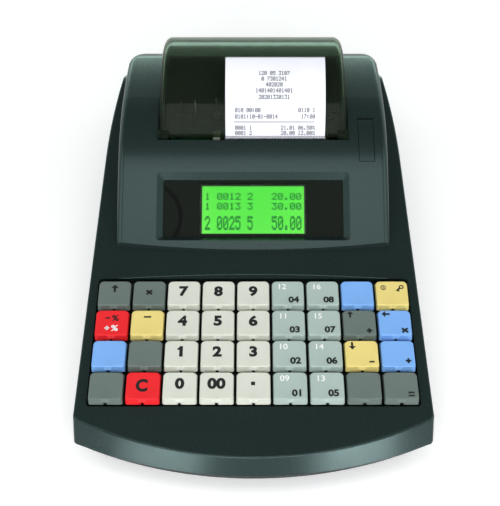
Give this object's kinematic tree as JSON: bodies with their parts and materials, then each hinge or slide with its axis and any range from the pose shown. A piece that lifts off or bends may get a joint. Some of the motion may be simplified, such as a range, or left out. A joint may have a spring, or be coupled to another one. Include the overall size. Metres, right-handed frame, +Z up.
{
  "type": "portable ticket register",
  "caption": "Portable ticket register: wedge case with a sunk keyboard of coloured keys, a display in a raised hump and a receipt printer under a hinged smoked cover.",
  "frame": {"origin": "middle of the footprint, on the table under the rubber feet", "axes": "+X to the user's right, +Y from the user to the rear wall, +Z up"},
  "size_m": [0.185, 0.2872, 0.1102],
  "materials": {
    "lower_shell": "fine satin texture",
    "upper_shell": "satin gloss",
    "smoked_cover": "clear smoked, polished",
    "black_window": "polished",
    "display_green": "lit from behind",
    "guide_black": "matte",
    "silicone_mat": "matte",
    "circuit_board": "solder-masked",
    "socket_black": "matte",
    "frame_plastic": "matte",
    "head_metal": "plain",
    "blade_steel": "bright",
    "roller_rubber": "ground",
    "gear_plastic": "moulded acetal",
    "motor_steel": "plated",
    "pinion_brass": "plain",
    "thermal_paper": "smooth",
    "screw_steel": "zinc-plated",
    "foot_rubber": "matte",
    "key_white": "fine texture",
    "key_green": "fine texture",
    "key_dark": "fine texture",
    "key_red": "fine texture",
    "key_yellow": "fine texture",
    "key_blue": "fine texture"
  },
  "bodies": {
    "case": {"lower_case": "lower_shell", "upper_case": "upper_shell", "display_window": "black_window", "display_module": "display_green", "key_guide": "guide_black", "dome_mat": "silicone_mat", "keyboard_board": "circuit_board", "main_board": "circuit_board", "rear_sockets": "socket_black", "printer_frame": "frame_plastic", "print_head": "head_metal", "tear_bar": "blade_steel", "feed_motor": "motor_steel", "paper_web": "thermal_paper", "case_screws": "screw_steel", "rubber_feet": "foot_rubber"},
    "cover": {"printer_cover": "smoked_cover", "receipt": "thermal_paper"},
    "door": {"card_door": "upper_shell"},
    "roll": {"paper_roll": "thermal_paper"},
    "platen": {"platen_roller": "roller_rubber", "platen_gear": "gear_plastic"},
    "idler": {"idler_gear": "gear_plastic"},
    "pinion": {"motor_pinion": "pinion_brass"},
    "key_1_1": {"key_1_1": "key_dark"},
    "key_1_2": {"key_1_2": "key_red"},
    "key_1_3": {"key_1_3": "key_white"},
    "key_1_4": {"key_1_4": "key_white"},
    "key_1_5": {"key_1_5": "key_white"},
    "key_1_6": {"key_1_6": "key_green"},
    "key_1_7": {"key_1_7": "key_green"},
    "key_1_8": {"key_1_8": "key_dark"},
    "key_1_9": {"key_1_9": "key_dark"},
    "key_2_1": {"key_2_1": "key_blue"},
    "key_2_2": {"key_2_2": "key_dark"},
    "key_2_3": {"key_2_3": "key_white"},
    "key_2_4": {"key_2_4": "key_white"},
    "key_2_5": {"key_2_5": "key_white"},
    "key_2_6": {"key_2_6": "key_green"},
    "key_2_7": {"key_2_7": "key_green"},
    "key_2_8": {"key_2_8": "key_yellow"},
    "key_2_9": {"key_2_9": "key_blue"},
    "key_3_1": {"key_3_1": "key_red"},
    "key_3_2": {"key_3_2": "key_yellow"},
    "key_3_3": {"key_3_3": "key_white"},
    "key_3_4": {"key_3_4": "key_white"},
    "key_3_5": {"key_3_5": "key_white"},
    "key_3_6": {"key_3_6": "key_green"},
    "key_3_7": {"key_3_7": "key_green"},
    "key_3_8": {"key_3_8": "key_dark"},
    "key_3_9": {"key_3_9": "key_blue"},
    "key_4_1": {"key_4_1": "key_dark"},
    "key_4_2": {"key_4_2": "key_dark"},
    "key_4_3": {"key_4_3": "key_white"},
    "key_4_4": {"key_4_4": "key_white"},
    "key_4_5": {"key_4_5": "key_white"},
    "key_4_6": {"key_4_6": "key_green"},
    "key_4_7": {"key_4_7": "key_green"},
    "key_4_8": {"key_4_8": "key_blue"},
    "key_4_9": {"key_4_9": "key_yellow"}
  },
  "joints": [
    {"name": "cover_hinge", "type": "hinge", "parent": "case", "child": "cover", "pos_m": [0, 0.133, 0.0712], "axis": [-1, 0, 0], "range_deg": [0, 75]},
    {"name": "card_door_hinge", "type": "hinge", "parent": "case", "child": "door", "pos_m": [0.06595, 0.05682, 0.07969], "axis": [-1, 0, 0], "range_deg": [0, 75]},
    {"name": "roll_spin", "type": "hinge", "parent": "case", "child": "roll", "pos_m": [0.0129, 0.0967, 0.06], "axis": [1, 0, 0], "continuous": true},
    {"name": "platen_spin", "type": "hinge", "parent": "case", "child": "platen", "pos_m": [0.0129, 0.0512, 0.0675], "axis": [1, 0, 0], "continuous": true},
    {"name": "idler_spin", "type": "hinge", "parent": "case", "child": "idler", "pos_m": [-0.0215, 0.06229, 0.05597], "axis": [1, 0, 0], "continuous": true},
    {"name": "motor_spin", "type": "hinge", "parent": "case", "child": "pinion", "pos_m": [-0.0215, 0.0566, 0.0445], "axis": [1, 0, 0], "continuous": true},
    {"name": "key_1_1_press", "type": "slide", "parent": "case", "child": "key_1_1", "axis": [0, -0.1219, 0.9925], "range_m": [-0.0025, 0], "stiffness_N_per_m": 200, "springref_m": 0.001},
    {"name": "key_1_2_press", "type": "slide", "parent": "case", "child": "key_1_2", "axis": [0, -0.1219, 0.9925], "range_m": [-0.0025, 0], "stiffness_N_per_m": 200, "springref_m": 0.001},
    {"name": "key_1_3_press", "type": "slide", "parent": "case", "child": "key_1_3", "axis": [0, -0.1219, 0.9925], "range_m": [-0.0025, 0], "stiffness_N_per_m": 200, "springref_m": 0.001},
    {"name": "key_1_4_press", "type": "slide", "parent": "case", "child": "key_1_4", "axis": [0, -0.1219, 0.9925], "range_m": [-0.0025, 0], "stiffness_N_per_m": 200, "springref_m": 0.001},
    {"name": "key_1_5_press", "type": "slide", "parent": "case", "child": "key_1_5", "axis": [0, -0.1219, 0.9925], "range_m": [-0.0025, 0], "stiffness_N_per_m": 200, "springref_m": 0.001},
    {"name": "key_1_6_press", "type": "slide", "parent": "case", "child": "key_1_6", "axis": [0, -0.1219, 0.9925], "range_m": [-0.0025, 0], "stiffness_N_per_m": 200, "springref_m": 0.001},
    {"name": "key_1_7_press", "type": "slide", "parent": "case", "child": "key_1_7", "axis": [0, -0.1219, 0.9925], "range_m": [-0.0025, 0], "stiffness_N_per_m": 200, "springref_m": 0.001},
    {"name": "key_1_8_press", "type": "slide", "parent": "case", "child": "key_1_8", "axis": [0, -0.1219, 0.9925], "range_m": [-0.0025, 0], "stiffness_N_per_m": 200, "springref_m": 0.001},
    {"name": "key_1_9_press", "type": "slide", "parent": "case", "child": "key_1_9", "axis": [0, -0.1219, 0.9925], "range_m": [-0.0025, 0], "stiffness_N_per_m": 200, "springref_m": 0.001},
    {"name": "key_2_1_press", "type": "slide", "parent": "case", "child": "key_2_1", "axis": [0, -0.1219, 0.9925], "range_m": [-0.0025, 0], "stiffness_N_per_m": 200, "springref_m": 0.001},
    {"name": "key_2_2_press", "type": "slide", "parent": "case", "child": "key_2_2", "axis": [0, -0.1219, 0.9925], "range_m": [-0.0025, 0], "stiffness_N_per_m": 200, "springref_m": 0.001},
    {"name": "key_2_3_press", "type": "slide", "parent": "case", "child": "key_2_3", "axis": [0, -0.1219, 0.9925], "range_m": [-0.0025, 0], "stiffness_N_per_m": 200, "springref_m": 0.001},
    {"name": "key_2_4_press", "type": "slide", "parent": "case", "child": "key_2_4", "axis": [0, -0.1219, 0.9925], "range_m": [-0.0025, 0], "stiffness_N_per_m": 200, "springref_m": 0.001},
    {"name": "key_2_5_press", "type": "slide", "parent": "case", "child": "key_2_5", "axis": [0, -0.1219, 0.9925], "range_m": [-0.0025, 0], "stiffness_N_per_m": 200, "springref_m": 0.001},
    {"name": "key_2_6_press", "type": "slide", "parent": "case", "child": "key_2_6", "axis": [0, -0.1219, 0.9925], "range_m": [-0.0025, 0], "stiffness_N_per_m": 200, "springref_m": 0.001},
    {"name": "key_2_7_press", "type": "slide", "parent": "case", "child": "key_2_7", "axis": [0, -0.1219, 0.9925], "range_m": [-0.0025, 0], "stiffness_N_per_m": 200, "springref_m": 0.001},
    {"name": "key_2_8_press", "type": "slide", "parent": "case", "child": "key_2_8", "axis": [0, -0.1219, 0.9925], "range_m": [-0.0025, 0], "stiffness_N_per_m": 200, "springref_m": 0.001},
    {"name": "key_2_9_press", "type": "slide", "parent": "case", "child": "key_2_9", "axis": [0, -0.1219, 0.9925], "range_m": [-0.0025, 0], "stiffness_N_per_m": 200, "springref_m": 0.001},
    {"name": "key_3_1_press", "type": "slide", "parent": "case", "child": "key_3_1", "axis": [0, -0.1219, 0.9925], "range_m": [-0.0025, 0], "stiffness_N_per_m": 200, "springref_m": 0.001},
    {"name": "key_3_2_press", "type": "slide", "parent": "case", "child": "key_3_2", "axis": [0, -0.1219, 0.9925], "range_m": [-0.0025, 0], "stiffness_N_per_m": 200, "springref_m": 0.001},
    {"name": "key_3_3_press", "type": "slide", "parent": "case", "child": "key_3_3", "axis": [0, -0.1219, 0.9925], "range_m": [-0.0025, 0], "stiffness_N_per_m": 200, "springref_m": 0.001},
    {"name": "key_3_4_press", "type": "slide", "parent": "case", "child": "key_3_4", "axis": [0, -0.1219, 0.9925], "range_m": [-0.0025, 0], "stiffness_N_per_m": 200, "springref_m": 0.001},
    {"name": "key_3_5_press", "type": "slide", "parent": "case", "child": "key_3_5", "axis": [0, -0.1219, 0.9925], "range_m": [-0.0025, 0], "stiffness_N_per_m": 200, "springref_m": 0.001},
    {"name": "key_3_6_press", "type": "slide", "parent": "case", "child": "key_3_6", "axis": [0, -0.1219, 0.9925], "range_m": [-0.0025, 0], "stiffness_N_per_m": 200, "springref_m": 0.001},
    {"name": "key_3_7_press", "type": "slide", "parent": "case", "child": "key_3_7", "axis": [0, -0.1219, 0.9925], "range_m": [-0.0025, 0], "stiffness_N_per_m": 200, "springref_m": 0.001},
    {"name": "key_3_8_press", "type": "slide", "parent": "case", "child": "key_3_8", "axis": [0, -0.1219, 0.9925], "range_m": [-0.0025, 0], "stiffness_N_per_m": 200, "springref_m": 0.001},
    {"name": "key_3_9_press", "type": "slide", "parent": "case", "child": "key_3_9", "axis": [0, -0.1219, 0.9925], "range_m": [-0.0025, 0], "stiffness_N_per_m": 200, "springref_m": 0.001},
    {"name": "key_4_1_press", "type": "slide", "parent": "case", "child": "key_4_1", "axis": [0, -0.1219, 0.9925], "range_m": [-0.0025, 0], "stiffness_N_per_m": 200, "springref_m": 0.001},
    {"name": "key_4_2_press", "type": "slide", "parent": "case", "child": "key_4_2", "axis": [0, -0.1219, 0.9925], "range_m": [-0.0025, 0], "stiffness_N_per_m": 200, "springref_m": 0.001},
    {"name": "key_4_3_press", "type": "slide", "parent": "case", "child": "key_4_3", "axis": [0, -0.1219, 0.9925], "range_m": [-0.0025, 0], "stiffness_N_per_m": 200, "springref_m": 0.001},
    {"name": "key_4_4_press", "type": "slide", "parent": "case", "child": "key_4_4", "axis": [0, -0.1219, 0.9925], "range_m": [-0.0025, 0], "stiffness_N_per_m": 200, "springref_m": 0.001},
    {"name": "key_4_5_press", "type": "slide", "parent": "case", "child": "key_4_5", "axis": [0, -0.1219, 0.9925], "range_m": [-0.0025, 0], "stiffness_N_per_m": 200, "springref_m": 0.001},
    {"name": "key_4_6_press", "type": "slide", "parent": "case", "child": "key_4_6", "axis": [0, -0.1219, 0.9925], "range_m": [-0.0025, 0], "stiffness_N_per_m": 200, "springref_m": 0.001},
    {"name": "key_4_7_press", "type": "slide", "parent": "case", "child": "key_4_7", "axis": [0, -0.1219, 0.9925], "range_m": [-0.0025, 0], "stiffness_N_per_m": 200, "springref_m": 0.001},
    {"name": "key_4_8_press", "type": "slide", "parent": "case", "child": "key_4_8", "axis": [0, -0.1219, 0.9925], "range_m": [-0.0025, 0], "stiffness_N_per_m": 200, "springref_m": 0.001},
    {"name": "key_4_9_press", "type": "slide", "parent": "case", "child": "key_4_9", "axis": [0, -0.1219, 0.9925], "range_m": [-0.0025, 0], "stiffness_N_per_m": 200, "springref_m": 0.001}
  ],
  "couplings": [
    {"joint": "platen_spin", "follows": "roll_spin", "ratio": 4.8},
    {"joint": "idler_spin", "follows": "roll_spin", "ratio": -3.9273},
    {"joint": "motor_spin", "follows": "roll_spin", "ratio": 8.64}
  ]
}
